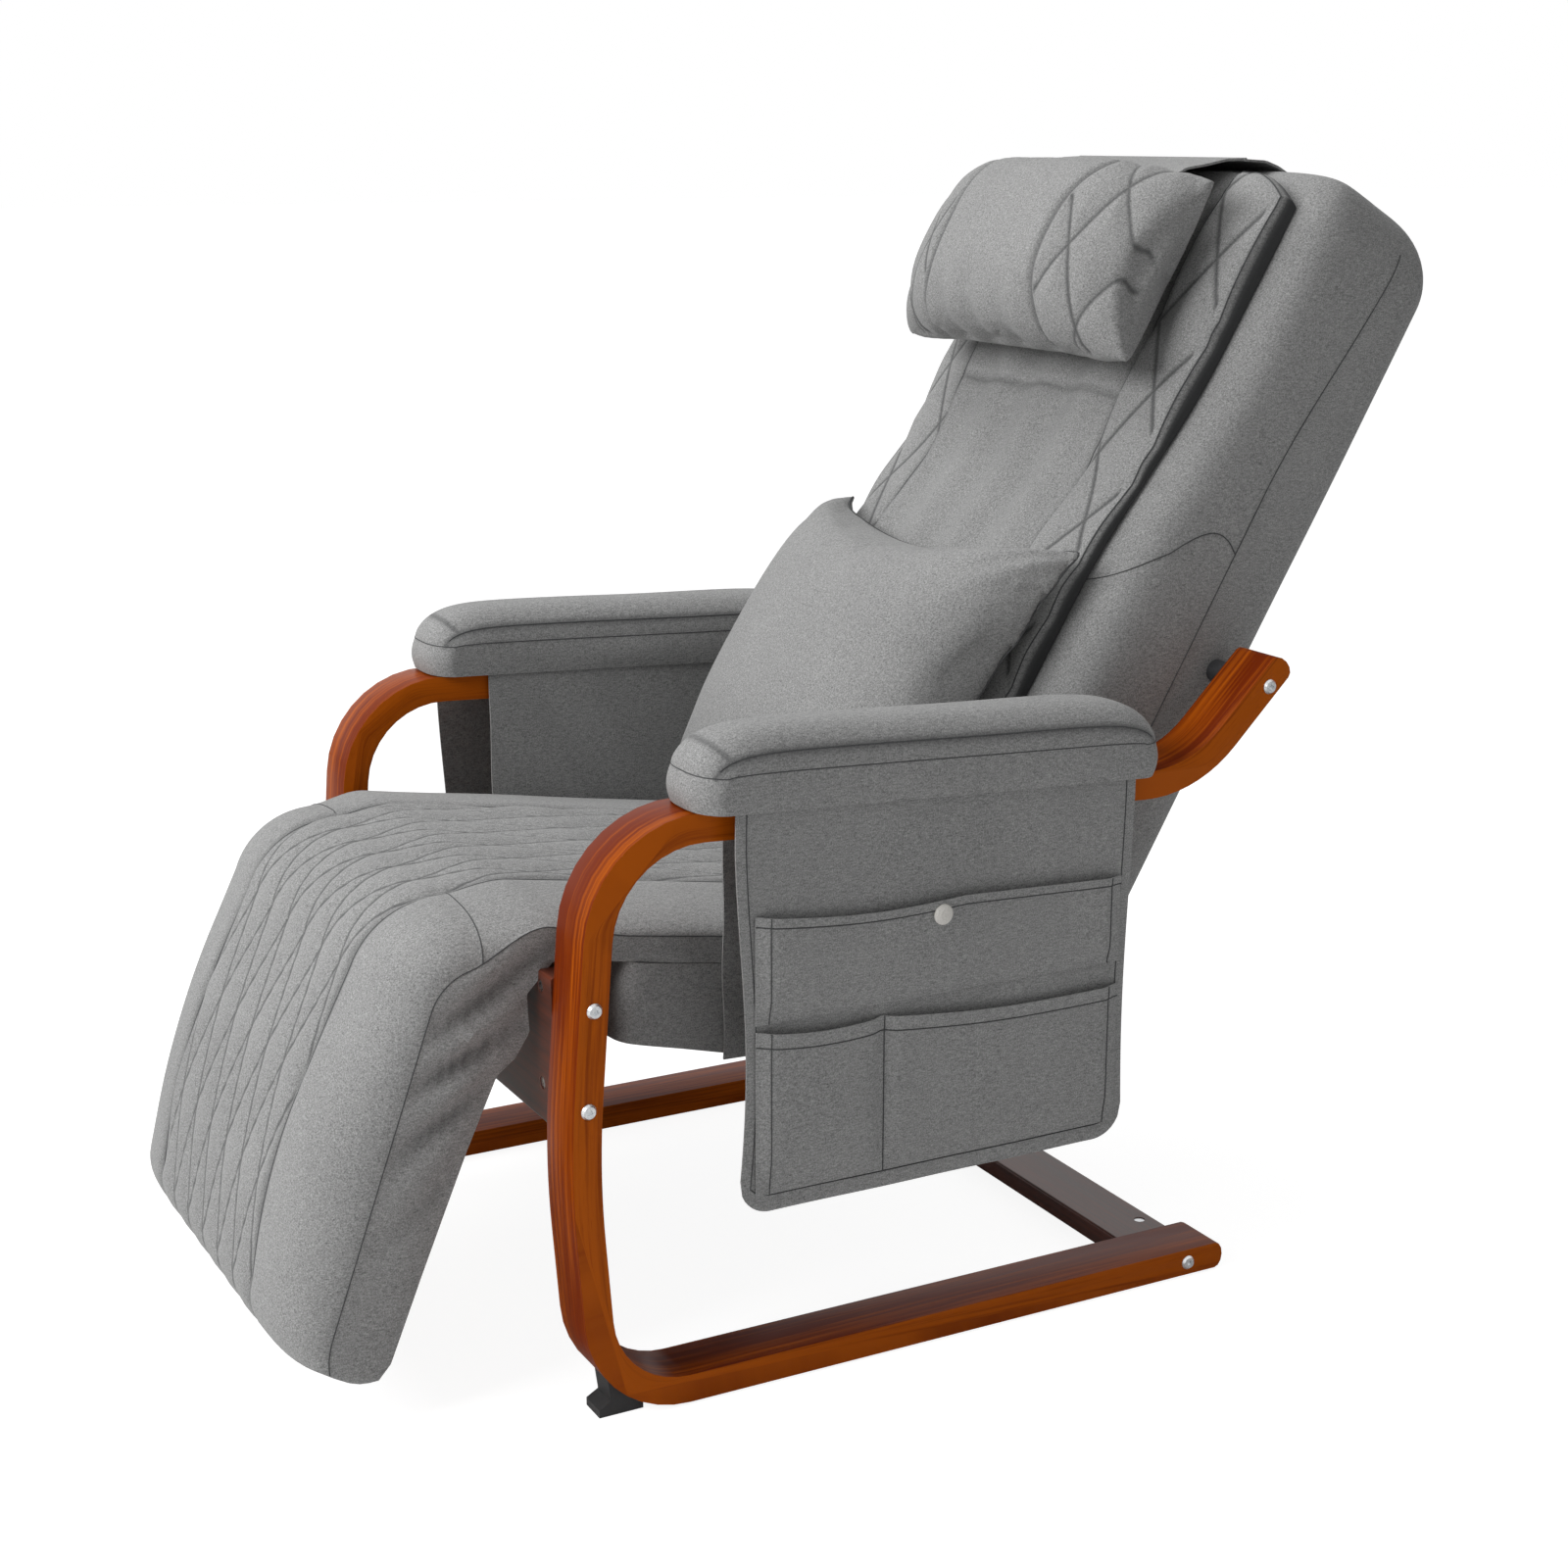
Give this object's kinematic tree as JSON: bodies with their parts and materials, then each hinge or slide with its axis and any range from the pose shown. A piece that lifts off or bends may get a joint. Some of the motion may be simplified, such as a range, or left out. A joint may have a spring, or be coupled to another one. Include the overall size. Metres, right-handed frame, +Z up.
{
  "type": "reflexology chair",
  "caption": "Cantilever bentwood massage lounge chair with a reclining padded back, gliding seat, swinging leg rest, padded arms and side pockets",
  "frame": {"origin": "on the floor, at the middle of the whole chair's width and depth", "axes": "+X to the sitter's left, -Y the way the sitter faces, +Z up"},
  "size_m": [0.778, 1.2932, 1.1414],
  "materials": {
    "bent_wood": "satin",
    "dark_wood": "satin",
    "grey_fabric": "matte",
    "dark_steel": "satin",
    "zinc_steel": "satin",
    "black_plastic": "matte",
    "plywood": "raw",
    "pale_nylon": "matte"
  },
  "bodies": {
    "frame": {"left_side_frame": "bent_wood", "right_side_frame": "bent_wood", "front_crossbar": "dark_wood", "rear_crossbar": "dark_wood", "frame_bolts": "zinc_steel", "barrel_nuts": "zinc_steel", "front_feet": "black_plastic", "rear_pads": "black_plastic", "seat_glides": "pale_nylon", "left_arm_board": "plywood", "right_arm_board": "plywood", "arm_screws": "zinc_steel", "left_arm_pad": "grey_fabric", "right_arm_pad": "grey_fabric", "left_outer_panel": "grey_fabric", "right_outer_panel": "grey_fabric", "left_upper_pocket": "grey_fabric", "left_lower_pocket": "grey_fabric", "right_upper_pocket": "grey_fabric", "right_lower_pocket": "grey_fabric", "snap_button": "pale_nylon", "left_inner_panel": "grey_fabric", "right_inner_panel": "grey_fabric", "pivot_bolts": "zinc_steel", "pivot_washers": "black_plastic", "pivot_nuts": "zinc_steel"},
    "back": {"back_frame": "dark_steel", "back_brackets": "dark_steel", "back_cover": "grey_fabric", "overlay_pad": "grey_fabric", "flap_tab": "grey_fabric", "lumbar_cushion": "grey_fabric", "carriage_rods": "zinc_steel", "rod_brackets": "dark_steel", "lift_motor": "black_plastic", "hinge_pins": "zinc_steel"},
    "pillow": {"head_pillow": "grey_fabric", "pillow_flap": "grey_fabric"},
    "screw": {"lead_screw": "zinc_steel"},
    "carriage": {"carriage_plate": "dark_steel", "rod_bushes": "pale_nylon", "lift_nut": "pale_nylon", "kneading_gearbox": "black_plastic"},
    "left_kneader": {"left_disc": "pale_nylon", "left_balls": "black_plastic"},
    "right_kneader": {"right_disc": "pale_nylon", "right_balls": "black_plastic"},
    "seat": {"seat_frame": "dark_steel", "seat_board": "plywood", "seat_cushion": "grey_fabric", "seat_skirt": "grey_fabric", "dust_cover": "black_plastic", "control_box": "black_plastic", "leg_hinge_pins": "zinc_steel"},
    "leg_rest": {"leg_frame": "dark_steel", "leg_board": "plywood", "leg_pad": "grey_fabric"}
  },
  "joints": [
    {"name": "back_recline", "type": "hinge", "parent": "frame", "child": "back", "pos_m": [0, 0.368, 0.625], "axis": [-1, 0, 0], "range_deg": [0, 10]},
    {"name": "seat_follow", "type": "hinge", "parent": "back", "child": "seat", "pos_m": [0, 0.22769, 0.33998], "axis": [-1, 0, 0], "range_deg": [-12, 0]},
    {"name": "leg_raise", "type": "hinge", "parent": "seat", "child": "leg_rest", "pos_m": [0, -0.46037, 0.385], "axis": [-1, 0, 0], "range_deg": [0, 42]},
    {"name": "pillow_lift", "type": "hinge", "parent": "back", "child": "pillow", "pos_m": [0, 0.47162, 1.13367], "axis": [-1, 0, 0], "range_deg": [0, 90]},
    {"name": "carriage_travel", "type": "slide", "parent": "back", "child": "carriage", "axis": [0, 0.5, 0.866], "range_m": [0, 0.3]},
    {"name": "screw_turn", "type": "hinge", "parent": "back", "child": "screw", "pos_m": [0, 0.28069, 0.51377], "axis": [0, 0.5, 0.866], "range_deg": [0, 13510]},
    {"name": "left_knead", "type": "hinge", "parent": "carriage", "child": "left_kneader", "pos_m": [0.042, 0.24605, 0.53377], "axis": [0, -0.866, 0.5], "continuous": true},
    {"name": "right_knead", "type": "hinge", "parent": "carriage", "child": "right_kneader", "pos_m": [-0.042, 0.24605, 0.53377], "axis": [0, -0.866, 0.5], "continuous": true}
  ],
  "couplings": [
    {"joint": "seat_follow", "follows": "back_recline", "ratio": -1.165},
    {"joint": "screw_turn", "follows": "carriage_travel", "rad_per_m": 785.4},
    {"joint": "right_knead", "follows": "left_knead", "ratio": -1}
  ]
}
